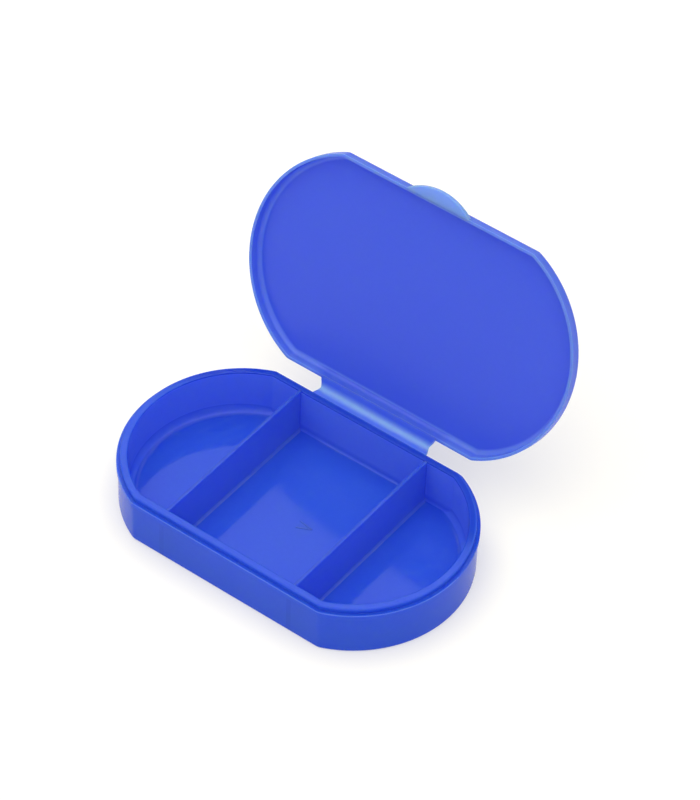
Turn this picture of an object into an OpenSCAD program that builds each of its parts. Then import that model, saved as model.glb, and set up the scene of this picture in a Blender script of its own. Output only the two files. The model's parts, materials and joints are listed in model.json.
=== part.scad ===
// Three-compartment pill box with a hinged lid, all one moulding.
// The origin is on the resting face, at the middle of the tray.
// +X runs along the box, -Y is the front, +Z is up.
// The lid is drawn closed and then turned open about the hinge line.

/* [Tray] */

// Length of the tray over the ledge
body_l = 83; // [76:1:110]
// Width of the tray over the ledge, front to back
body_w = 50; // [40:1:52]
// Radius of the two rounded ends
end_r = 27; // [26.5:0.5:34]
// Height of the ledge that the lid sits on
ledge_h = 11.3; // [9:0.1:24]
// Width of the ledge outside the lip
ledge_w = 0.8; // [0.7:0.05:1.2]
// How far the rim band stands out past the wall
band_proud = 0.25; // [0.1:0.05:0.5]
// Depth of the rim band below the ledge
band_t = 1.4; // [1:0.1:2]
// Height of the lip above the ledge
lip_h = 1.2; // [1:0.1:1.8]
// Thickness of the lip
lip_t = 1.6; // [1.2:0.1:2]
// Rounding of the lip's top edge
lip_round = 0.3; // [0.1:0.05:0.5]
// Thickness of the floor
floor_t = 1.1; // [0.8:0.1:2]
// Rounding where the floor meets straight walls and dividers
side_fillet = 0.7; // [0.4:0.1:1.2]
// Rounding where the floor meets the round ends
end_fillet = 2; // [1.2:0.1:3]
// Rounding of the edge around the underside
foot_round = 0.5; // [0.2:0.1:1]

/* [Dividers] */

// Distance from the middle to a divider
divider_x = 16.9; // [12:0.1:21]
// Thickness of a divider
divider_t = 1; // [0.7:0.1:1.6]
// How far a divider stops below the top of the lip
divider_drop = 0.1; // [0.05:0.05:2]

/* [Lid] */

// Angle the lid stands open from closed
open_angle = 111.5; // [90:0.5:150]
// Depth of the lid from its rim to its outside face
lid_h = 3.5; // [3:0.1:5]
// Thickness of the lid panel
panel_t = 0.9; // [0.7:0.1:1.2]
// Rounding of the lid's outer edge
lid_round = 1.5; // [0.6:0.1:1.6]
// Rounding where the lid panel meets its skirt
lid_fillet = 0.8; // [0.4:0.1:1]
// Room between the lid's skirt and the lip
lid_clear = 0.12; // [0.05:0.01:0.2]
// Room between the lid's rim and the ledge when closed
rim_gap = 0.05; // [0.02:0.01:0.1]
// Width of the thumb tab where it leaves the lid
tab_w = 16; // [10:0.5:24]
// How far the thumb tab reaches out
tab_reach = 2.7; // [2:0.1:5]
// Thickness of the thumb tab
tab_t = 1.1; // [0.8:0.1:1.5]

/* [Hinge] */

// Length of the bending web
hinge_l = 29; // [18:0.5:40]
// Distance from the tray's back to the bending line
hinge_y = 2.2; // [1.8:0.1:4]
// Distance from the bending line to the end of each leaf
web_reach = 1.1; // [0.8:0.05:1.5]
// Thickness of the web
web_t = 0.35; // [0.3:0.05:0.5]
// Thickness of the two hinge leaves
leaf_t = 0.9; // [0.7:0.05:1.2]
// How much wider a leaf is at each side of its root
leaf_flare = 0.7; // [0.1:0.1:1.5]

/* [Floor mark] */

// Length of each bar of the moulding mark
mark_l = 3.5; // [2:0.1:5]
// Height of the moulding mark above the floor
mark_h = 0.15; // [0.1:0.05:0.3]

/* [Hidden] */

$fn = 96;
end_x = body_l / 2 - end_r;
corner_x = end_x + sqrt(end_r * end_r - body_w * body_w / 4);
rim_w = ledge_w + lip_t;
inner_y = body_w / 2 - rim_w;
band_z = ledge_h - band_t;
lip_top = ledge_h + lip_h;
divider_top = lip_top - divider_drop;
skirt_t = ledge_w - lid_clear;
split_z = ledge_h + lid_h - lid_round;
lid_top = ledge_h + lid_h;
axis_y = body_w / 2 + hinge_y;
turn = 180 - open_angle;
web_r = web_reach / tan(turn / 2);
leaf_end = hinge_y - web_reach;
tab_r = (tab_w * tab_w / 4 + tab_reach * tab_reach) / (2 * tab_reach);
base_color = [0.22, 0.32, 0.82];
lid_color = [0.30, 0.38, 0.86];
web_color = [0.45, 0.62, 0.90];

// Plan of the box, drawn in by inset all round.
module plan(inset) {
  intersection() {
    union() {
      translate([end_x, 0]) circle(r = end_r - inset);
      translate([-end_x, 0]) circle(r = end_r - inset);
      square([2 * end_x, body_w], center = true);
    }
    square([2 * body_l, body_w - 2 * inset], center = true);
  }
}

// Half section w wide and h high, with its top outer corner rounded by r.
module half_section(w, h, r) {
  square([w - r, h]);
  square([w, h - r]);
  translate([w - r, h - r]) circle(r = r);
}

// The same section on both sides of the middle.
module full_section(w, h, r) {
  half_section(w, h, r);
  mirror([1, 0]) half_section(w, h, r);
}

// Block on the plan, h high, its top edge rounded by r_side and r_end.
module pillow(inset, h, r_side, r_end) {
  w = body_w / 2 - inset;
  for (s = [-1, 1]) {
    intersection() {
      translate([s * end_x, 0, 0]) rotate_extrude() half_section(end_r - inset, h, r_end);
      rotate([90, 0, 90]) translate([0, 0, -body_l]) linear_extrude(2 * body_l) full_section(w, h, r_side);
      translate([s * body_l / 2, 0, h / 2]) cube([body_l, 2 * body_w, 2 * h], center = true);
    }
  }
  rotate([90, 0, 90]) translate([0, 0, -end_x]) linear_extrude(2 * end_x) full_section(w, h, r_side);
}

// Hollow inside the walls, rounded where it meets the floor.
module hollow() {
  depth = lip_top + 1 - floor_t;
  translate([0, 0, lip_top + 1]) mirror([0, 0, 1]) pillow(rim_w, depth, side_fillet, end_fillet);
}

// Slot-shaped block between x0 and x1 with rounded lower edges.
module bay(x0, x1) {
  r = side_fillet;
  h = lip_top + 1 - floor_t;
  translate([0, body_w, floor_t]) rotate([90, 0, 0]) linear_extrude(2 * body_w) {
    translate([x0, r]) square([x1 - x0, h - r]);
    translate([x0 + r, 0]) square([x1 - x0 - 2 * r, h]);
    translate([x0 + r, r]) circle(r = r);
    translate([x1 - r, r]) circle(r = r);
  }
}

// The three compartments.
module compartments() {
  face = divider_t / 2;
  intersection() {
    hollow();
    union() {
      bay(-body_l, -divider_x - face);
      bay(-divider_x + face, divider_x - face);
      bay(divider_x + face, body_l);
    }
  }
}

// Everything the walls, the floor fillets and the dividers are cut from.
module tray_block(z0, z1) {
  difference() {
    translate([0, 0, z0]) linear_extrude(z1 - z0) plan(band_proud);
    compartments();
  }
}

// Space a divider takes up, with the rounded foot on both sides.
module divider_zone(s) {
  w = divider_t + 2 * side_fillet;
  translate([s * divider_x - w / 2, -inner_y, floor_t]) cube([w, 2 * inner_y, divider_top - floor_t]);
}

// Long wall between the corners, with its rounded foot.
module long_wall(s) {
  depth = rim_w + end_fillet;
  mid_y = s * (body_w / 2 - depth / 2);
  difference() {
    intersection() {
      tray_block(floor_t, band_z);
      translate([0, mid_y, 0]) cube([2 * corner_x, depth, 4 * ledge_h], center = true);
    }
    divider_zone(-1);
    divider_zone(1);
  }
}

// Round end wall beyond the corners, with its rounded foot.
module end_wall(s) {
  intersection() {
    tray_block(floor_t, band_z);
    translate([s * (corner_x + body_l / 2), 0, 0]) cube([body_l, 2 * body_w, 4 * ledge_h], center = true);
  }
}

module divider(s) {
  difference() {
    intersection() {
      translate([0, 0, floor_t]) linear_extrude(divider_top - floor_t) plan(rim_w);
      divider_zone(s);
    }
    compartments();
  }
}

// Outer edge of a hinge leaf, from its root to the web.
module leaf_plan() {
  half = hinge_l / 2;
  root = half + leaf_flare;
  y0 = body_w / 2;
  polygon([[-root, y0], [root, y0], [half, y0 + leaf_end], [-half, y0 + leaf_end]]);
}

// Carries a closed lid shape to where the lid stands open.
module opened() {
  translate([0, axis_y, ledge_h]) rotate([-open_angle, 0, 0]) translate([0, -axis_y, -ledge_h]) children();
}

// Closed lid: a rounded block, hollow underneath.
module lid_block() {
  inside = lid_h - panel_t;
  difference() {
    translate([0, 0, ledge_h]) pillow(0, lid_h, lid_round, lid_round);
    translate([0, 0, ledge_h]) pillow(skirt_t, inside, lid_fillet, lid_fillet);
  }
}

module floor() {
  color(base_color) {
    intersection() {
      mirror([0, 0, 1]) translate([0, 0, -2 * floor_t]) pillow(band_proud, 2 * floor_t, foot_round, foot_round);
      translate([0, 0, floor_t / 2]) cube([2 * body_l, 2 * body_w, floor_t], center = true);
    }
    // Moulding mark: two short bars set at an angle.
    for (a = [8, -26]) {
      translate([3.9, 0.3, floor_t]) rotate([0, 0, 180 - a]) translate([0, -0.2, 0]) cube([mark_l, 0.4, mark_h]);
    }
  }
}

module front_wall() {
  color(base_color) long_wall(-1);
}

module back_wall() {
  color(base_color) long_wall(1);
}

module left_end_wall() {
  color(base_color) end_wall(-1);
}

module right_end_wall() {
  color(base_color) end_wall(1);
}

module rim_ledge() {
  color(base_color) translate([0, 0, band_z]) linear_extrude(band_t) difference() {
    plan(0);
    plan(rim_w);
  }
}

module rim_lip() {
  color(base_color) difference() {
    translate([0, 0, ledge_h]) pillow(ledge_w, lip_h, lip_round, lip_round);
    translate([0, 0, ledge_h - 1]) linear_extrude(lip_h + 2) plan(rim_w);
  }
}

module left_divider() {
  color(base_color) divider(-1);
}

module right_divider() {
  color(base_color) divider(1);
}

module base_hinge_leaf() {
  color(base_color) translate([0, 0, ledge_h - leaf_t]) linear_extrude(leaf_t) leaf_plan();
}

module hinge_web() {
  y0 = axis_y - web_reach;
  color(web_color) translate([-hinge_l / 2, y0, ledge_h + web_r]) rotate([90, 0, 90])
    rotate([0, 0, -90]) rotate_extrude(angle = turn) translate([web_r, 0]) square([web_t, hinge_l]);
}

module lid_hinge_leaf() {
  color(lid_color) opened() translate([0, 0, ledge_h]) linear_extrude(leaf_t) leaf_plan();
}

module lid_panel() {
  color(lid_color) opened() intersection() {
    lid_block();
    translate([0, 0, split_z + lid_h]) cube([2 * body_l, 2 * body_w, 2 * lid_h], center = true);
  }
}

module lid_skirt() {
  color(lid_color) opened() intersection() {
    lid_block();
    translate([0, 0, (ledge_h + rim_gap + split_z) / 2])
      cube([2 * body_l, 2 * body_w, split_z - ledge_h - rim_gap], center = true);
  }
}

module thumb_tab() {
  color(lid_color) opened() translate([0, 0, ledge_h + rim_gap]) linear_extrude(tab_t) intersection() {
    translate([0, tab_r - tab_reach - body_w / 2]) circle(r = tab_r);
    translate([-tab_w, -body_w / 2 - 2 * tab_reach]) square([2 * tab_w, 2 * tab_reach]);
  }
}

floor();
front_wall();
back_wall();
left_end_wall();
right_end_wall();
rim_ledge();
rim_lip();
left_divider();
right_divider();
base_hinge_leaf();
hinge_web();
lid_hinge_leaf();
lid_panel();
lid_skirt();
thumb_tab();
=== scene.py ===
import json
import math

import bmesh
import bpy
from mathutils import Matrix, Vector
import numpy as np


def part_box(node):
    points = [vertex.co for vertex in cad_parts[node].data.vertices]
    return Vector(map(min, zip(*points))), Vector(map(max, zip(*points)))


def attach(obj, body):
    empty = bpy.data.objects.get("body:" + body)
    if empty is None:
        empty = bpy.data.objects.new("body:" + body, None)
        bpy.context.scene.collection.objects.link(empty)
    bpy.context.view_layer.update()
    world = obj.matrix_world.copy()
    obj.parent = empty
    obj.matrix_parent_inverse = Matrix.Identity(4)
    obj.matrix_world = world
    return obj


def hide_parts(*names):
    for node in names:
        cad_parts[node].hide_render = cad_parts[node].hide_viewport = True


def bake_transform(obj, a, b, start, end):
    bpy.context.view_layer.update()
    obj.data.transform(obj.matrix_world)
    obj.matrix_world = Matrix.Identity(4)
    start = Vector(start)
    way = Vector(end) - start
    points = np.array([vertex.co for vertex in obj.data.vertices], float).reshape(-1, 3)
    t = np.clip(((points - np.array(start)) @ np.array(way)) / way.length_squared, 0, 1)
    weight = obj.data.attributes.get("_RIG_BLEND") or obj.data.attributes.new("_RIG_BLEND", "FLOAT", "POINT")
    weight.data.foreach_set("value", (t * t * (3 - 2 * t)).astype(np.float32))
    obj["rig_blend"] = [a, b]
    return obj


bl_info = {
    "name": "Pill Box Moulding",
    "version": (1, 0, 0),
    "blender": (4, 5, 0),
    "location": "View3D > Sidebar > Pill Box",
    "description": "Builds the looks of a three-compartment pill box with a strap-hinged lid",
    "category": "Object",
}

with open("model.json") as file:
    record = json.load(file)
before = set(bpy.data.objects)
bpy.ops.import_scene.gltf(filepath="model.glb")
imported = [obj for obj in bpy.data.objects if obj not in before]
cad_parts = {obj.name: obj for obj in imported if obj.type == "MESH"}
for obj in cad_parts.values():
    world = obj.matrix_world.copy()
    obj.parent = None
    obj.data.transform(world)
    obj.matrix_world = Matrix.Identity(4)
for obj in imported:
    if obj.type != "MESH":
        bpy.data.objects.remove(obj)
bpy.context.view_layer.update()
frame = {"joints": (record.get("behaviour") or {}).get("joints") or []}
MM = 0.001

# Short run drawn beside each rounding, which keeps the flat next to it flat.
CREASE = 0.06 * MM
# How far a piece reaches into the one it grows out of.
SUNK = 0.3 * MM
# Rounding between a divider and the floor, here and in the frame.
DIVIDER_FOOT = 0.7 * MM
# Points nearer than this are one point.
MERGE_DISTANCE = 1e-7

# Where each surface sits on its plastic's colour ramp, from deep and dark at 0 to pale at 1: mostly painted
# shade and painted highlights, and pale where the plastic is thin.
TONES = {
    "rim shade": 0.0,
    "groove": 0.05,
    "lip root": 0.08,
    "lip": 0.1,
    "outside": 0.2,
    "pocket wall": 0.3,
    "fillet": 0.35,
    "pocket": 0.4,
    "edge": 0.6,
    "raised": 0.66,
    "brink": 0.72,
    "thin": 1.0,
}


# ---- sizes read from the frame ------------------------------------------

ledge_low, ledge_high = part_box("rim_ledge")
lip_low, lip_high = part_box("rim_lip")
floor_low, floor_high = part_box("floor")
wall_low, wall_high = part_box("front_wall")
divider_low, divider_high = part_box("right_divider")
leaf_low, leaf_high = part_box("base_hinge_leaf")
web_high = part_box("hinge_web")[1]
hinge = frame["joints"][0]
OPEN_ANGLE = math.radians(-hinge["range_deg"][0])
HINGE_Y, HINGE_Z = hinge["pos_m"][1], hinge["pos_m"][2]
LENGTH = ledge_high[0] - ledge_low[0]
WIDTH = ledge_high[1] - ledge_low[1]
CORNER_X = wall_high[0]


def end_centre(length, width, corner_x):
    """How far from the middle the centre of a round end lies."""
    return (length**2 / 4 - corner_x**2 - width**2 / 4) / (length - 2 * corner_x)


END_X = end_centre(LENGTH, WIDTH, CORNER_X)
END_R = LENGTH / 2 - END_X


def linear(hex_colour):
    """An sRGB hex colour as linear red, green, blue."""
    values = [int(hex_colour[i : i + 2], 16) / 255 for i in (1, 3, 5)]
    return tuple(v / 12.92 if v <= 0.04045 else ((v + 0.055) / 1.055) ** 2.4 for v in values)


# ---- properties ----------------------------------------------------------


def length_property(name, text, default):
    """A length in metres."""
    return bpy.props.FloatProperty(
        name=name, description=text, default=default, min=0, unit="LENGTH", precision=5
    )


def colour_property(name, text, hex_colour):
    """A colour given as sRGB hex."""
    return bpy.props.FloatVectorProperty(
        name=name, description=text, subtype="COLOR", size=3, min=0, max=1, default=linear(hex_colour)
    )


class TraySizes(bpy.types.PropertyGroup):
    ledge_height: length_property("Ledge height", "Height of the ledge the lid sits on", ledge_high[2])
    band_height: length_property("Band height", "Height of the underside of the rim band", ledge_low[2])
    band_proud: length_property(
        "Band proud",
        "How far the rim band stands out past the wall",
        (WIDTH - (floor_high[1] - floor_low[1])) / 2,
    )
    ledge_width: length_property(
        "Ledge width", "Width of the ledge outside the lip", (WIDTH - (lip_high[1] - lip_low[1])) / 2
    )
    lip_top: length_property("Lip top", "Height of the top of the lip", lip_high[2])
    rim_width: length_property("Rim width", "Ledge and lip together", WIDTH / 2 - divider_high[1])
    floor_thickness: length_property("Floor", "Thickness of the floor", wall_low[2])
    side_fillet: length_property(
        "Side fillet", "Rounding between the floor and the straight walls", 0.7 * MM
    )
    end_fillet: length_property("End fillet", "Rounding between the floor and the round ends", 2.0 * MM)
    foot_round: length_property("Foot rounding", "Rounding of the edge around the underside", 0.5 * MM)
    lip_round: length_property("Lip rounding", "Rounding of the lip's top edges", 0.3 * MM)
    corner_round: length_property(
        "Corner rounding", "Rounding in plan where a straight meets a round end, outside", 3.0 * MM
    )
    lip_corner: length_property("Lip corner rounding", "The same for the lip and the pocket", 1.0 * MM)
    draft: length_property(
        "Draft", "How far a wall leans in towards the floor, so that it leaves the mould", 0.12 * MM
    )


class DividerSizes(bpy.types.PropertyGroup):
    place: length_property(
        "Place", "Distance from the middle to a divider", (divider_low[0] + divider_high[0]) / 2
    )
    thickness: length_property(
        "Thickness",
        "Thickness of a divider at its top",
        divider_high[0] - divider_low[0] - 2 * DIVIDER_FOOT,
    )
    taper: length_property(
        "Taper", "How much thinner each side is at the top, so that it leaves the mould", 0.1 * MM
    )
    top: length_property("Top", "Height of a divider's top edge", divider_high[2])
    foot: length_property("Foot", "Rounding between a divider and the floor", DIVIDER_FOOT)


class MarkSizes(bpy.types.PropertyGroup):
    length: length_property("Length", "Length of each bar of the moulding mark", 3.5 * MM)
    width: length_property("Width", "Width of each bar", 0.4 * MM)
    height: length_property("Height", "Height of the bars above the floor", 0.1 * MM)


class LidSizes(bpy.types.PropertyGroup):
    depth: length_property("Depth", "Depth of the lid from its rim to its outside face", 3.5 * MM)
    panel: length_property("Panel", "Thickness of the lid panel", 0.9 * MM)
    skirt: length_property("Skirt", "Thickness of the skirt", 0.68 * MM)
    rim_gap: length_property("Rim gap", "Room between the closed lid's rim and the ledge", 0.05 * MM)
    outer_round: length_property("Outer rounding", "Rounding of the lid's outer edge", 1.5 * MM)
    inner_round: length_property("Inner rounding", "Rounding between the panel and the skirt", 0.8 * MM)
    corner_round: length_property(
        "Corner rounding", "Rounding in plan where a straight meets a round end", 2.0 * MM
    )
    tab_width: length_property("Tab width", "Width of the thumb tab where it leaves the lid", 16 * MM)
    tab_reach: length_property("Tab reach", "How far the thumb tab reaches out", 2.7 * MM)
    tab_thickness: length_property("Tab thickness", "Thickness of the thumb tab", 1.1 * MM)


class StrapSizes(bpy.types.PropertyGroup):
    half_length: length_property("Half length", "Half the length of the bending web", web_high[0])
    root_half: length_property(
        "Root half length", "Half the length of a leaf at its root", leaf_high[0]
    )
    reach: length_property(
        "Web reach", "Distance from the bending line to the end of each leaf", HINGE_Y - leaf_high[1]
    )
    web: length_property("Web", "Thickness of the bending web", 0.35 * MM)
    leaf: length_property("Leaf", "Thickness of a leaf", leaf_high[2] - leaf_low[2])


# Outside, pocket, pocket wall, groove and lip are lit and shaded copies of the tray's blue: painted shade on
# the outside walls, the ledge and the lip's root, and painted light in the compartments and on the lip.
class BoxColours(bpy.types.PropertyGroup):
    # Painted shade on the rim near the hinge, where the plastic is also thickest.
    rim_painted_shade: colour_property(
        "Rim shade", "The rim near the hinge, where the plastic is thickest", "#264FB8"
    )
    groove: colour_property(
        "Groove", "The plastic on the ledge and at the lip's root, where little light comes", "#3262C8"
    )
    outside: colour_property("Outside", "The plastic of the outside wall", "#3264D2")
    pocket: colour_property(
        "Pocket", "The plastic inside the compartments, with light shut in", "#3A66D1"
    )
    pocket_wall: colour_property(
        "Pocket wall", "The plastic of the walls round the compartments", "#6E93FF"
    )
    divider: colour_property("Divider", "The plastic of the thin dividers", "#6492CE")
    lip: colour_property("Lip", "The plastic along the lip", "#3F68D2")
    lid_blue: colour_property("Lid blue", "The lid's thinner plastic", "#4F6DD4")
    strap_blue: colour_property("Strap blue", "The strap hinge's plastic where it is thick", "#4A6CF0")
    thin_blue: colour_property(
        "Thin blue", "The plastic where it is thin and light comes through", "#8AB0E8"
    )
    passing: colour_property(
        "Passing light", "Light that has gone through one skin of the plastic", "#6288FF"
    )
    floor: colour_property("Table", "Pale studio floor, lit from below", "#D1CEC3")


# ---- mesh tools ----------------------------------------------------------


def arc_points(centre, radius, start, end, steps):
    """Points on a quarter-round between two angles in degrees, ends included."""
    out = []
    for i in range(steps + 1):
        a = math.radians(start + (end - start) * i / steps)
        out.append((centre[0] + radius * math.cos(a), centre[1] + radius * math.sin(a)))
    return out


def plan_stations(end_steps=56, corner_steps=6, flat_steps=16):
    """Names of the places round the plan: which end or side, and how far along it."""
    out = []
    for end in (1, -1):
        out += [("corner", end, -end, i / corner_steps) for i in range(corner_steps)]
        out += [("end", end, end, i / end_steps) for i in range(end_steps)]
        out += [("corner", end, end, 1 - i / corner_steps) for i in range(corner_steps)]
        out += [("flat", end, end, 1 - 2 * i / flat_steps) for i in range(flat_steps)]
    return out


STATIONS = plan_stations()


def plan_point(station, side, end, corner):
    """Where a station lies.

    The straights are drawn in by side, the round ends by end, and the corners
    are rounded by corner.
    """
    kind, end_sign, side_sign, part = STATIONS[station]
    w = WIDTH / 2 - side
    r = END_R - end
    cx = END_X + math.sqrt((r - corner) ** 2 - (w - corner) ** 2)
    reach = math.atan2(w - corner, cx - END_X)
    if kind == "flat":
        return end_sign * part * cx, side_sign * w
    if kind == "corner":
        a = math.pi / 2 + (reach - math.pi / 2) * part
        return end_sign * (cx + corner * math.cos(a)), side_sign * (w - corner + corner * math.sin(a))
    a = reach * (2 * part - 1)
    return end_sign * (END_X + r * math.cos(a)), end_sign * r * math.sin(a)


def draw_rings(bm, rings):
    """Closed shell drawn from ring to ring.

    A ring is its side inset, end inset, corner radius, height on the straights,
    height on the ends and tone, which is painted light, or paleness where the plastic is thin.
    """
    bm.verts.layers.int.new("station")
    bm.verts.layers.float.new("thinness")
    station = bm.verts.layers.int["station"]
    thinness = bm.verts.layers.float["thinness"]
    first = bmesh.ops.create_circle(bm, cap_ends=False, segments=len(STATIONS), radius=1)["verts"]
    for i, v in enumerate(first):
        v[station] = i
    edges = bm.edges[:]
    place_ring(first, station, thinness, rings[0])
    bmesh.ops.contextual_create(bm, geom=edges)
    for ring in rings[1:]:
        out = bmesh.ops.extrude_edge_only(bm, edges=edges)["geom"]
        edges = [g for g in out if isinstance(g, bmesh.types.BMEdge)]
        place_ring([g for g in out if isinstance(g, bmesh.types.BMVert)], station, thinness, ring)
    bmesh.ops.contextual_create(bm, geom=edges)


def place_ring(verts, station, thinness, ring):
    """Puts the vertices of one ring where their stations lie."""
    side, end, corner, low, high, thin = ring
    for v in verts:
        v[thinness] = thin
        kind, _, _, part = STATIONS[v[station]]
        # The rounding at the foot grows over a corner and the first part of a round end.
        if kind == "flat":
            share = 0.0
        elif kind == "corner":
            share = part * 0.5
        else:
            share = 1 - 0.5 * abs(2 * part - 1) ** 8
        v.co = (*plan_point(v[station], side, end, corner), low + (high - low) * share)


def loft(bm, loops):
    """Bridges each loop of edges to the next and closes the first and the last with a face."""
    for a, b in zip(loops, loops[1:]):
        bmesh.ops.bridge_loops(bm, edges=a + b)
    for loop in (loops[0], loops[-1]):
        bmesh.ops.contextual_create(bm, geom=loop)


def rectangle_loop(bm, half_x, half_y, matrix):
    """Closed loop of four edges: a rectangle in its own XY plane, put in place by matrix."""
    scaled = matrix @ Matrix.Diagonal((half_x, half_y, 1, 1))
    out = bmesh.ops.create_grid(bm, x_segments=1, y_segments=1, size=1, matrix=scaled)
    faces = list({f for v in out["verts"] for f in v.link_faces})
    edges = list({e for f in faces for e in f.edges})
    bmesh.ops.delete(bm, geom=faces, context="FACES_ONLY")
    return edges


def opened():
    """Turns what is drawn closed to where the lid stands open."""
    pivot = Vector((0, HINGE_Y, HINGE_Z))
    return Matrix.Translation(pivot) @ Matrix.Rotation(-OPEN_ANGLE, 4, "X") @ Matrix.Translation(-pivot)


def finished(name, bm, sharp_degrees=35):
    """A mesh object at the origin from bm, with outward faces, smooth but for its sharp edges."""
    bmesh.ops.remove_doubles(bm, verts=bm.verts, dist=MERGE_DISTANCE)
    bmesh.ops.recalc_face_normals(bm, faces=bm.faces)
    bm.normal_update()
    for face in bm.faces:
        face.smooth = True
    for edge in bm.edges:
        edge.smooth = edge.is_manifold and edge.calc_face_angle() < math.radians(sharp_degrees)
    mesh = bpy.data.meshes.new(name)
    bm.to_mesh(mesh)
    bm.free()
    ob = bpy.data.objects.new(name, mesh)
    bpy.context.scene.collection.objects.link(ob)
    return ob


# ---- materials -----------------------------------------------------------


def add(tree, kind, settings=None, links=None):
    """Adds a node, sets its sockets and attributes, and links its inputs to the sockets given."""
    node = tree.nodes.new(kind)
    for key, value in (settings or {}).items():
        if isinstance(key, str) and hasattr(node, key) and key not in node.inputs:
            setattr(node, key, value)
        else:
            node.inputs[key].default_value = value
    for key, source in (links or {}).items():
        tree.links.new(source, node.inputs[key])
    return node


# Sizes of the melt's ripple and of the skin left by the tool.
RIPPLE_SIZE = 3.0 * MM
SKIN_SIZE = 0.8 * MM
# The stripe of painted shade where a divider meets a long wall, and how much darker it is.
STRIPE_HALF_WIDTH = 0.6 * MM
STRIPE_PAINTED_SHADE = 0.09
# How far the gloss wanders either way, as a share of the roughness.
GLOSS_SPREAD = 0.07
# How far red, green and blue light wander inside the blue plastic, in millimetres.
SCATTER = (0.5, 0.9, 4.0)
# Refractive index of polypropylene.
PLASTIC_IOR = 1.49


def polypropylene(name, stops, passing, texture_depth, roughness, gloss_level, clear, mottle):
    """Dyed translucent polypropylene, injection moulded against a polished tool.

    It is a waxy body that light seeps through, under a soft gloss. stops are its
    tones and colours, mostly lit and shaded copies of one blue as painted light,
    passing the colour of light that goes straight through, clear the share of that
    light, and mottle how far its tone wanders.
    """
    if name in bpy.data.materials:
        return bpy.data.materials[name]
    material = bpy.data.materials.new(name)
    material.use_nodes = True
    tree = material.node_tree
    tree.nodes.clear()
    place = add(tree, "ShaderNodeTexCoord")
    # Flow ripple of the melt, about 3 mm across, barely there.
    ripple = add(
        tree,
        "ShaderNodeTexNoise",
        {"Scale": 1 / RIPPLE_SIZE, "Detail": 2.0, "Roughness": 0.5},
        {"Vector": place.outputs["Object"]},
    )
    # Skin left by the tool, about 0.8 mm across.
    skin = add(
        tree,
        "ShaderNodeTexNoise",
        {"Scale": 1 / SKIN_SIZE, "Detail": 2.0, "Roughness": 0.6},
        {"Vector": place.outputs["Object"]},
    )
    gloss = add(
        tree,
        "ShaderNodeMapRange",
        {
            "From Min": 0.3,
            "From Max": 0.7,
            "To Min": roughness * (1 - GLOSS_SPREAD),
            "To Max": roughness * (1 + GLOSS_SPREAD),
        },
        {"Value": ripple.outputs["Fac"]},
    )
    # Thin plastic is paler, because less dye lies in the light's way; the same ramp also carries painted
    # shade and painted highlights across the surfaces.
    thin = add(tree, "ShaderNodeAttribute", {"attribute_name": "thinness"})
    dye = add(tree, "ShaderNodeValToRGB", {}, {"Fac": thin.outputs["Fac"]})
    ramp = dye.color_ramp.elements
    while len(ramp) < len(stops):
        ramp.new(0.5)
    for element, (position, colour) in zip(ramp, stops):
        element.position = position
        element.color = (*colour, 1)
    tone = add(
        tree,
        "ShaderNodeMapRange",
        {"From Min": 0.3, "From Max": 0.7, "To Min": 1 - mottle, "To Max": 1 + mottle},
        {"Value": skin.outputs["Fac"]},
    )
    # Where a divider meets a long wall, the plastic is thicker, and a faint stripe of painted shade shows
    # through on the outside, where the divider holds back light.
    spot = add(tree, "ShaderNodeSeparateXYZ", {}, {"Vector": place.outputs["Object"]})
    across = add(tree, "ShaderNodeMath", {"operation": "ABSOLUTE"}, {0: spot.outputs["X"]})
    stripe = add(
        tree,
        "ShaderNodeMath",
        {"operation": "COMPARE", 1: (divider_low[0] + divider_high[0]) / 2, 2: STRIPE_HALF_WIDTH},
        {0: across.outputs[0]},
    )
    depth = add(tree, "ShaderNodeMath", {"operation": "ABSOLUTE"}, {0: spot.outputs["Y"]})
    outside = add(
        tree,
        "ShaderNodeMath",
        {"operation": "GREATER_THAN", 1: WIDTH / 2 - STRIPE_HALF_WIDTH},
        {0: depth.outputs[0]},
    )
    below = add(
        tree, "ShaderNodeMath", {"operation": "LESS_THAN", 1: ledge_low[2]}, {0: spot.outputs["Z"]}
    )
    where = add(
        tree, "ShaderNodeMath", {"operation": "MULTIPLY"}, {0: stripe.outputs[0], 1: outside.outputs[0]}
    )
    there = add(
        tree, "ShaderNodeMath", {"operation": "MULTIPLY"}, {0: where.outputs[0], 1: below.outputs[0]}
    )
    shade = add(
        tree,
        "ShaderNodeMath",
        {"operation": "MULTIPLY_ADD", 1: -STRIPE_PAINTED_SHADE},
        {0: there.outputs[0], 2: tone.outputs["Result"]},
    )
    toned = add(tree, "ShaderNodeMix", {"data_type": "RGBA", "blend_type": "MULTIPLY"})
    toned.inputs[0].default_value = 1.0
    tree.links.new(dye.outputs["Color"], toned.inputs[6])
    tree.links.new(shade.outputs[0], toned.inputs[7])
    bump = add(
        tree,
        "ShaderNodeBump",
        {"Strength": 1.0, "Distance": texture_depth},
        {"Height": skin.outputs["Fac"]},
    )
    body = add(
        tree,
        "ShaderNodeBsdfPrincipled",
        {
            "IOR": PLASTIC_IOR,
            "Specular IOR Level": gloss_level,
            "Subsurface Weight": 1.0,
            "Subsurface Radius": SCATTER,
            "Subsurface Scale": MM,
        },
        {
            "Base Color": toned.outputs[2],
            "Roughness": gloss.outputs["Result"],
            "Normal": bump.outputs["Normal"],
        },
    )
    # Part of the light goes straight through each skin and leaves dyed.
    through = add(tree, "ShaderNodeBsdfTransparent", {"Color": (*passing, 1)})
    mixed = add(
        tree, "ShaderNodeMixShader", {0: clear}, {1: body.outputs["BSDF"], 2: through.outputs["BSDF"]}
    )
    add(tree, "ShaderNodeOutputMaterial", {}, {"Surface": mixed.outputs["Shader"]})
    return material


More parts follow.
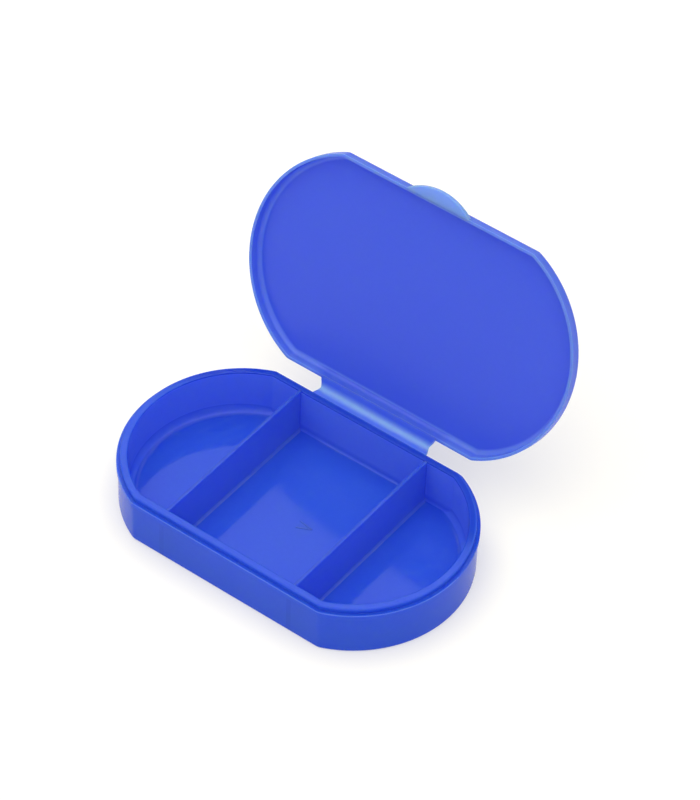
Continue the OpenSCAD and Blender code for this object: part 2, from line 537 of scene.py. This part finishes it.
def tray_plastic(colours):
    """The tray's plastic: painted shade deepest along the rim, painted highlights palest along its edges,
    and glossy.
    """
    stops = [
        (TONES["rim shade"], colours.rim_painted_shade),
        (TONES["groove"], colours.groove),
        (TONES["lip"], colours.lip),
        (TONES["outside"], colours.outside),
        (TONES["pocket wall"], colours.pocket_wall),
        (TONES["pocket"], colours.pocket),
        (TONES["edge"], colours.lip),
        (TONES["thin"], colours.thin_blue),
    ]
    return polypropylene(
        "moulded_polypropylene",
        stops,
        colours.passing,
        texture_depth=0.003 * MM,
        roughness=0.10,
        gloss_level=0.27,
        clear=0.35,
        mottle=0.015,
    )


def divider_plastic(colours):
    """The dividers' plastic, 1 mm thick, so more can be seen through it."""
    stops = [
        (TONES["rim shade"], colours.groove),
        (TONES["outside"], colours.pocket_wall),
        (TONES["pocket"], colours.divider),
        (TONES["edge"], colours.lip),
        (TONES["thin"], colours.thin_blue),
    ]
    return polypropylene(
        "thin_wall_polypropylene",
        stops,
        colours.passing,
        texture_depth=0.003 * MM,
        roughness=0.12,
        gloss_level=0.27,
        clear=0.52,
        mottle=0.015,
    )


def lid_plastic(colours):
    """The lid's plastic, with a slightly matt skin."""
    return polypropylene(
        "satin_polypropylene",
        [(0.0, colours.lid_blue), (TONES["thin"], colours.thin_blue)],
        colours.passing,
        texture_depth=0.002 * MM,
        roughness=0.25,
        gloss_level=0.38,
        clear=0.30,
        mottle=0.008,
    )


def strap_plastic(colours):
    """The hinge's plastic, drawn out thin in the middle, which turns it pale."""
    return polypropylene(
        "stretched_polypropylene",
        [(0.0, colours.strap_blue), (TONES["thin"], colours.thin_blue)],
        colours.passing,
        texture_depth=0.002 * MM,
        roughness=0.24,
        gloss_level=0.36,
        clear=0.18,
        mottle=0.02,
    )


def board(colour):
    """Matt white board, lit a little from below, so that shadows on it stay soft."""
    material = bpy.data.materials.new("matt_white_board")
    material.use_nodes = True
    shader = material.node_tree.nodes["Principled BSDF"]
    shader.inputs["Base Color"].default_value = (*colour, 1)
    shader.inputs["Roughness"].default_value = 0.9
    shader.inputs["Specular IOR Level"].default_value = 0.1
    shader.inputs["Emission Color"].default_value = (1, 1, 1, 1)
    shader.inputs["Emission Strength"].default_value = 0.34
    return material


# ---- operators -----------------------------------------------------------


def tray_rings(s):
    """Rings of the tray from the underside, up the outside, over the rim and down to the floor."""
    tiny = CREASE
    wall = s.band_proud
    foot = s.foot_round
    edge = 0.12 * MM
    root = 0.1 * MM
    r = s.lip_round
    low = s.rim_width + s.draft
    # The rings' tones are painted light: painted shade on the outside walls, the ledge and the lip's root, a
    # painted highlight along the ledge's outer edge and on the lip, and paler pocket walls and floor.
    outside, brink, groove, lip = (TONES[tone] for tone in ("outside", "brink", "groove", "lip"))
    rings = []

    def out(side, z, thin):
        on_outside = side < s.ledge_width / 2 + tiny or z < s.band_height
        corner = s.corner_round if on_outside else s.lip_corner
        rings.append((side, side, corner, z, z, thin))

    out(wall + s.draft + foot + 4 * tiny, 0, outside)
    for x, z in arc_points((wall + s.draft + foot, foot), foot, 270, 180, 5):
        out(x, z, outside)
    out(wall + s.draft, foot + tiny, outside)
    out(wall + tiny, s.band_height - tiny, outside)
    for x, z in arc_points((wall - tiny, s.band_height - tiny), tiny, 0, 90, 2)[1:]:
        out(x, z, outside)
    out(edge + tiny, s.band_height, outside)
    for x, z in arc_points((edge, s.band_height + edge), edge, 270, 180, 3):
        out(x, z, outside)
    out(0, s.band_height + edge + tiny, outside)
    out(0, s.ledge_height - edge - tiny, outside)
    # Painted highlight along the ledge's outer edge.
    for x, z in arc_points((edge, s.ledge_height - edge), edge, 180, 90, 3):
        out(x, z, brink)
    out(edge + tiny, s.ledge_height, groove)
    out(s.ledge_width - root - tiny, s.ledge_height, groove)
    for x, z in arc_points((s.ledge_width - root, s.ledge_height + root), root, 270, 360, 3):
        out(x, z, groove)
    out(s.ledge_width, s.ledge_height + root + tiny, groove)
    out(s.ledge_width, s.lip_top - r - tiny, groove)
    for x, z in arc_points((s.ledge_width + r, s.lip_top - r), r, 180, 90, 5):
        out(x, z, TONES["lip root"])
    out(s.ledge_width + r + 2 * tiny, s.lip_top, lip)
    out(s.rim_width - r - tiny, s.lip_top, lip)
    for x, z in arc_points((s.rim_width - r, s.lip_top - r), r, 90, 0, 5):
        out(x, z, lip)
    out(s.rim_width, s.lip_top - r - tiny, TONES["pocket wall"])
    out(low, s.floor_thickness + s.end_fillet + tiny, TONES["pocket wall"])
    # Down the rounding at the foot of the walls, which is larger at the round ends.
    steps = 8
    for i in range(steps + 1):
        a = math.radians(90 * i / steps)
        side = low + s.side_fillet * (1 - math.cos(a))
        end = low + s.end_fillet * (1 - math.cos(a))
        z = s.floor_thickness
        rise = 1 - math.sin(a)
        # All but the last steps onto the floor are painted paler, a painted highlight on the rounding.
        tone = TONES["fillet"] if i < 6 else TONES["pocket"]
        rings.append((side, end, s.lip_corner, z + s.side_fillet * rise, z + s.end_fillet * rise, tone))
    rings.append((side + 4 * tiny, end + 4 * tiny, s.lip_corner, z, z, TONES["pocket"]))
    return rings


class PILLBOX_OT_tray(bpy.types.Operator):
    """Tray with its floor, walls, ledge and lip in one wall"""

    bl_idname = "pillbox.tray"
    bl_label = "Tray"

    def execute(self, context):
        s = context.scene.pillbox_tray
        bm = bmesh.new()
        draw_rings(bm, tray_rings(s))
        thinness = bm.verts.layers.float["thinness"]
        for v in bm.verts:
            # Painted shade: the rim's lip and outer edge darken towards the hinge.
            on_rim = min(abs(v[thinness] - TONES[tone]) for tone in ("lip", "brink")) < 0.01
            near = min(1.0, v.co.y / (WIDTH / 4))
            if on_rim and near > 0:
                v[thinness] = min(v[thinness], TONES["lip"]) * (1 - near)
        tray = finished("tray", bm)
        tray.data.materials.append(tray_plastic(context.scene.pillbox_colours))
        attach(tray, "tray")
        walls = ("front_wall", "back_wall", "left_end_wall", "right_end_wall")
        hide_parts("floor", *walls, "rim_ledge", "rim_lip")
        return {"FINISHED"}


class PILLBOX_OT_dividers(bpy.types.Operator):
    """Two thin dividers, each with a rounded foot"""

    bl_idname = "pillbox.dividers"
    bl_label = "Dividers"

    def execute(self, context):
        s = context.scene.pillbox_dividers
        t = context.scene.pillbox_tray
        half_y = WIDTH / 2 - t.rim_width + SUNK
        for name, side in (("left", -1), ("right", 1)):
            bm = bmesh.new()
            half = s.thickness / 2
            top = half - s.taper
            edge = 0.15 * MM
            floor = t.floor_thickness
            # Half width, height and how pale the plastic looks there: a painted highlight along the foot's
            # rounding and the top edge.
            levels = [(half + 0.83 * s.foot, floor - SUNK, TONES["pocket"])]
            for i in range(9):
                a = math.radians(10 + 10 * i)
                tone = TONES["pocket wall"] if i < 6 else TONES["pocket"]
                levels.append(
                    (half + s.foot * (1 - math.sin(a)), floor + s.foot * (1 - math.cos(a)), tone)
                )
            # The flanks are painted a shade deeper than the foot's painted highlight.
            levels.append((half - 0.01 * MM, floor + s.foot + CREASE, 0.36))
            levels.append((top, s.top - edge - CREASE, 0.34))
            # Painted highlight along the rounded top edge.
            for i in range(4):
                a = math.radians(90 * i / 3)
                levels.append(
                    (top - edge * (1 - math.cos(a)), s.top - edge * (1 - math.sin(a)), TONES["raised"])
                )
            thinness = bm.verts.layers.float.new("thinness")
            loops = []
            for x, z, thin in levels:
                loops.append(rectangle_loop(bm, x, half_y, Matrix.Translation((side * s.place, 0, z))))
                for v in {v for e in loops[-1] for v in e.verts}:
                    v[thinness] = thin
            loft(bm, loops)
            divider = finished(f"{name}_divider_wall", bm)
            divider.data.materials.append(divider_plastic(context.scene.pillbox_colours))
            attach(divider, "tray")
            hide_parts(f"{name}_divider")
        return {"FINISHED"}


class PILLBOX_OT_mark(bpy.types.Operator):
    """Plain mark left by the mould on the floor: two short bars meeting at an angle"""

    bl_idname = "pillbox.mark"
    bl_label = "Moulding mark"

    def execute(self, context):
        t = context.scene.pillbox_tray
        s = context.scene.pillbox_mark
        bm = bmesh.new()
        sunk = 0.1 * MM
        meeting = Matrix.Translation((3.9 * MM, 0.3 * MM, t.floor_thickness))
        lifted = Matrix.Translation((s.length / 2, 0, (s.height - sunk) / 2))
        bar = Matrix.Diagonal((s.length, s.width, s.height + sunk, 1))
        for turn in (172, 206):
            turned = Matrix.Rotation(math.radians(turn), 4, "Z")
            out = bmesh.ops.create_cube(bm, size=1, matrix=meeting @ turned @ lifted @ bar)
            edges = list({e for v in out["verts"] for e in v.link_edges})
            bmesh.ops.bevel(
                bm, geom=edges, offset=0.05 * MM, affect="EDGES", segments=3, profile=0.5, material=-1
            )
        # The bars are painted pale, a painted highlight on their raised strokes.
        thinness = bm.verts.layers.float.new("thinness")
        for v in bm.verts:
            v[thinness] = TONES["raised"]
        mark = finished("moulding_mark", bm)
        mark.data.materials.append(tray_plastic(context.scene.pillbox_colours))
        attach(mark, "tray")
        return {"FINISHED"}


class PILLBOX_OT_lid(bpy.types.Operator):
    """Lid panel and skirt in one shell"""

    bl_idname = "pillbox.lid"
    bl_label = "Lid"

    def execute(self, context):
        s = context.scene.pillbox_lid
        tiny = CREASE
        base = HINGE_Z
        top = base + s.depth
        r = s.outer_round
        e = 0.12 * MM
        q = s.inner_round
        rim = base + s.rim_gap
        inside = top - s.panel
        # Inset, height and how pale the plastic looks there, from the outside face round the rim: painted
        # highlights along the rim's edge and the inner rounding, and the skirt painted paler than the faces.
        points = [(r + 4 * tiny, top, 0.0)]
        points += [(x, z, 0.1) for x, z in arc_points((r, top - r), r, 90, 180, 10)]
        points += [(0, top - r - tiny, 0.1), (0, rim + e + tiny, 0.3)]
        points += [(x, z, 0.6) for x, z in arc_points((e, rim + e), e, 180, 270, 3)]
        points += [(x, z, 0.6) for x, z in arc_points((s.skirt - e, rim + e), e, 270, 360, 3)]
        points += [(s.skirt, rim + e + tiny, 0.4), (s.skirt, inside - q - tiny, 0.25)]
        points += [
            (x, z, 0.25 + 0.06 * i)
            for i, (x, z) in enumerate(arc_points((s.skirt + q, inside - q), q, 180, 90, 6))
        ]
        points += [(s.skirt + q + tiny, inside, 0.55), (s.skirt + q + 8 * tiny, inside, 0.0)]
        bm = bmesh.new()
        draw_rings(bm, [(x, x, s.corner_round, z, z, thin) for x, z, thin in points])
        thinness = bm.verts.layers.float["thinness"]
        for v in bm.verts:
            # The rim is thick where the strap joins it.
            if v.co.y > WIDTH / 2 - s.skirt - s.inner_round and abs(v.co.x) < leaf_high[0]:
                v[thinness] = min(v[thinness], 0.1)
        bmesh.ops.transform(bm, matrix=opened(), verts=bm.verts)
        lid = finished("lid", bm)
        lid.data.materials.append(lid_plastic(context.scene.pillbox_colours))
        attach(lid, "lid")
        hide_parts("lid_panel", "lid_skirt")
        return {"FINISHED"}


class PILLBOX_OT_thumb_tab(bpy.types.Operator):
    """Half-moon tab at the front of the lid"""

    bl_idname = "pillbox.thumb_tab"
    bl_label = "Thumb tab"

    def execute(self, context):
        s = context.scene.pillbox_lid
        radius = (s.tab_width**2 / 4 + s.tab_reach**2) / (2 * s.tab_reach)
        rim = HINGE_Z + s.rim_gap
        centre = Matrix.Translation((0, radius - s.tab_reach - WIDTH / 2, rim))
        bm = bmesh.new()
        bmesh.ops.create_circle(
            bm, cap_ends=True, cap_tris=False, segments=180, radius=radius, matrix=centre
        )
        whole = bm.verts[:] + bm.edges[:] + bm.faces[:]
        root = SUNK - WIDTH / 2
        bmesh.ops.bisect_plane(
            bm,
            geom=whole,
            dist=MERGE_DISTANCE,
            plane_co=(0, root, 0),
            plane_no=(0, 1, 0),
            clear_outer=True,
        )
        out = bmesh.ops.extrude_face_region(bm, geom=bm.faces[:], use_keep_orig=True)
        lifted = [g for g in out["geom"] if isinstance(g, bmesh.types.BMVert)]
        bmesh.ops.translate(bm, vec=(0, 0, s.tab_thickness), verts=lifted)
        bmesh.ops.recalc_face_normals(bm, faces=bm.faces)
        bm.normal_update()
        free = root - 0.1 * MM
        creased = [e for e in bm.edges if e.is_manifold and e.calc_face_angle() > 1]
        rims = [e for e in creased if max(v.co.y for v in e.verts) < free]
        bmesh.ops.bevel(
            bm,
            geom=rims,
            offset=0.3 * MM,
            affect="EDGES",
            segments=4,
            profile=0.5,
            material=-1,
            clamp_overlap=True,
        )
        bmesh.ops.transform(bm, matrix=opened(), verts=bm.verts)
        thinness = bm.verts.layers.float.new("thinness")
        for v in bm.verts:
            v[thinness] = TONES["thin"]
        tab = finished("thumb_grip", bm)
        tab.data.materials.append(lid_plastic(context.scene.pillbox_colours))
        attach(tab, "lid")
        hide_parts("thumb_tab")
        return {"FINISHED"}


class PILLBOX_OT_strap(bpy.types.Operator):
    """Strap hinge: a leaf on the tray, a thin bending web and a leaf on the lid"""

    bl_idname = "pillbox.strap"
    bl_label = "Strap hinge"

    def execute(self, context):
        s = context.scene.pillbox_strap
        turn = math.pi - OPEN_ANGLE
        radius = s.reach / math.tan(turn / 2)
        leaf = HINGE_Y - WIDTH / 2 - s.reach
        stations = []

        def station(length, half_x, thickness, sink=0.0):
            """A cross-section at a distance along the strap from the start of the web, sunk by sink."""
            arc = radius * turn
            if length <= 0:
                y, z, a = HINGE_Y - s.reach + length, HINGE_Z, 0
            elif length >= arc:
                a = turn
                rest = length - arc + s.reach
                y, z = HINGE_Y + rest * math.cos(turn), HINGE_Z + rest * math.sin(turn)
            else:
                a = length / radius
                y, z = HINGE_Y - s.reach + radius * math.sin(a), HINGE_Z + radius * (1 - math.cos(a))
            along = Vector((0, math.cos(a), math.sin(a)))
            down = Vector((0, math.sin(a), -math.cos(a)))
            middle = Vector((0, y, z)) + down * (thickness / 2 + sink)
            turned = Matrix((Vector((1, 0, 0)), down, along)).transposed().to_4x4()
            place = Matrix.Translation(middle) @ turned
            stations.append((half_x, thickness / 2, place))

        arc = radius * turn
        root = 0.5 * MM
        root_sink = 0.05 * MM
        whole = arc + 2 * leaf

        def waist(length):
            """Half length of the strap at a station: narrowest on the bending line."""
            away = min(1.0, abs(length - arc / 2) / (whole / 2))
            return s.half_length + (s.root_half - s.half_length) * away

        station(-leaf - root, s.root_half, s.leaf, root_sink)
        for i in range(6):
            station(-leaf * (1 - i / 6), waist(-leaf * (1 - i / 6)), s.leaf)
        steps = 24
        for i in range(steps + 1):
            t = i / steps
            # Even in the middle, then smoothly thicker towards each leaf.
            swell = max(0.0, (abs(2 * t - 1) - 0.4) / 0.6)
            swell = swell * swell * (3 - 2 * swell)
            station(arc * t, waist(arc * t), s.web + (s.leaf - s.web) * swell)
        for i in range(1, 7):
            station(arc + leaf * i / 6, waist(arc + leaf * i / 6), s.leaf)
        station(arc + leaf + root, s.root_half, s.leaf, root_sink)
        bm = bmesh.new()
        loft(bm, [rectangle_loop(bm, *st) for st in stations])
        thinness = bm.verts.layers.float.new("thinness")
        for v in bm.verts:
            # Palest where it is drawn out thin, deepening into the leaves, more so on the lid's side.
            away = math.hypot(v.co.y - HINGE_Y, v.co.z - HINGE_Z) / s.reach
            leaf_tone, spread = (0.25, 1.35) if v.co.y < HINGE_Y else (0.06, 1.5)
            v[thinness] = leaf_tone + 0.68 * max(0.0, min(1.0, spread - away))
        strap = finished("hinge_strap", bm)
        strap.data.materials.append(strap_plastic(context.scene.pillbox_colours))
        start = (0, HINGE_Y - s.reach, HINGE_Z)
        end = (0, HINGE_Y + s.reach * math.cos(turn), HINGE_Z + s.reach * math.sin(turn))
        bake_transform(strap, "tray", "lid", start=start, end=end)
        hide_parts("base_hinge_leaf", "hinge_web", "lid_hinge_leaf")
        return {"FINISHED"}


class PILLBOX_OT_stage(bpy.types.Operator):
    """Pale floor, soft light and the camera"""

    bl_idname = "pillbox.stage"
    bl_label = "Stage"

    def execute(self, context):
        scene = context.scene
        bm = bmesh.new()
        bmesh.ops.create_grid(
            bm, x_segments=1, y_segments=1, size=3, matrix=Matrix.Translation((0, 0, -0.02 * MM))
        )
        table = finished("table", bm)
        table.data.materials.append(board(context.scene.pillbox_colours.floor))

        world = bpy.data.worlds.new("white_tent")
        world.use_nodes = True
        sky = world.node_tree.nodes["Background"]
        sky.inputs["Color"].default_value = (1, 1, 1, 1)
        sky.inputs["Strength"].default_value = 0.55
        scene.world = world

        light = bpy.data.lights.new("softbox", "AREA")
        light.shape = "DISK"
        light.size = 2.4
        light.energy = 22.0
        softbox = bpy.data.objects.new("softbox", light)
        softbox.location = (-0.1, -0.05, 1.2)
        softbox.rotation_euler = (-softbox.location).to_track_quat("-Z", "Y").to_euler()
        scene.collection.objects.link(softbox)

        # Where the camera stands: round to the right, above, and tipped a little.
        azimuth, elevation, roll = (math.radians(a) for a in (35.7, 45.1, 2.2))
        distance = 0.8703
        picture_width = 700
        picture_scale = 4.697 / MM
        right = Vector((math.cos(azimuth), math.sin(azimuth), 0))
        flat = math.cos(elevation)
        back = Vector((math.sin(azimuth) * flat, -math.cos(azimuth) * flat, math.sin(elevation)))
        up = back.cross(right)
        eye = right * 10.39 * MM + up * 27.18 * MM + back * distance
        data = bpy.data.cameras.new("camera")
        data.sensor_fit = "HORIZONTAL"
        data.sensor_width = 36
        data.lens = data.sensor_width * picture_scale * distance / picture_width
        data.clip_start = 0.01
        camera = bpy.data.objects.new("camera", data)
        across = right * math.cos(roll) + up * math.sin(roll)
        above = up * math.cos(roll) - right * math.sin(roll)
        turned = Matrix((across, above, back)).transposed().to_4x4()
        camera.matrix_world = Matrix.Translation(eye) @ turned
        scene.collection.objects.link(camera)
        scene.camera = camera
        scene.view_settings.view_transform = "Standard"
        return {"FINISHED"}


class PILLBOX_PT_panel(bpy.types.Panel):
    """Sizes, colours and pieces of the pill box"""

    bl_idname = "PILLBOX_PT_panel"
    bl_label = "Pill Box"
    bl_space_type = "VIEW_3D"
    bl_region_type = "UI"
    bl_category = "Pill Box"

    def draw(self, context):
        for title, group in GROUPS:
            box = self.layout.box()
            box.label(text=title)
            values = getattr(context.scene, group)
            for key in values.__annotations__:
                box.prop(values, key)
        for operator in OPERATORS:
            self.layout.operator(operator.bl_idname)


GROUPS = (
    ("Tray", "pillbox_tray"),
    ("Dividers", "pillbox_dividers"),
    ("Moulding mark", "pillbox_mark"),
    ("Lid", "pillbox_lid"),
    ("Strap hinge", "pillbox_strap"),
    ("Colours", "pillbox_colours"),
)
GROUP_CLASSES = (TraySizes, DividerSizes, MarkSizes, LidSizes, StrapSizes, BoxColours)
OPERATORS = (
    PILLBOX_OT_tray,
    PILLBOX_OT_dividers,
    PILLBOX_OT_mark,
    PILLBOX_OT_lid,
    PILLBOX_OT_thumb_tab,
    PILLBOX_OT_strap,
    PILLBOX_OT_stage,
)


def register():
    for cls in GROUP_CLASSES + OPERATORS + (PILLBOX_PT_panel,):
        bpy.utils.register_class(cls)
    for (_, key), cls in zip(GROUPS, GROUP_CLASSES):
        setattr(bpy.types.Scene, key, bpy.props.PointerProperty(type=cls))


def unregister():
    for _, key in GROUPS:
        delattr(bpy.types.Scene, key)
    for cls in reversed(GROUP_CLASSES + OPERATORS + (PILLBOX_PT_panel,)):
        bpy.utils.unregister_class(cls)


def main():
    register()
    bpy.ops.pillbox.tray()
    bpy.ops.pillbox.dividers()
    bpy.ops.pillbox.mark()
    bpy.ops.pillbox.lid()
    bpy.ops.pillbox.thumb_tab()
    bpy.ops.pillbox.strap()
    bpy.ops.pillbox.stage()


if __name__ == "__main__":
    main()
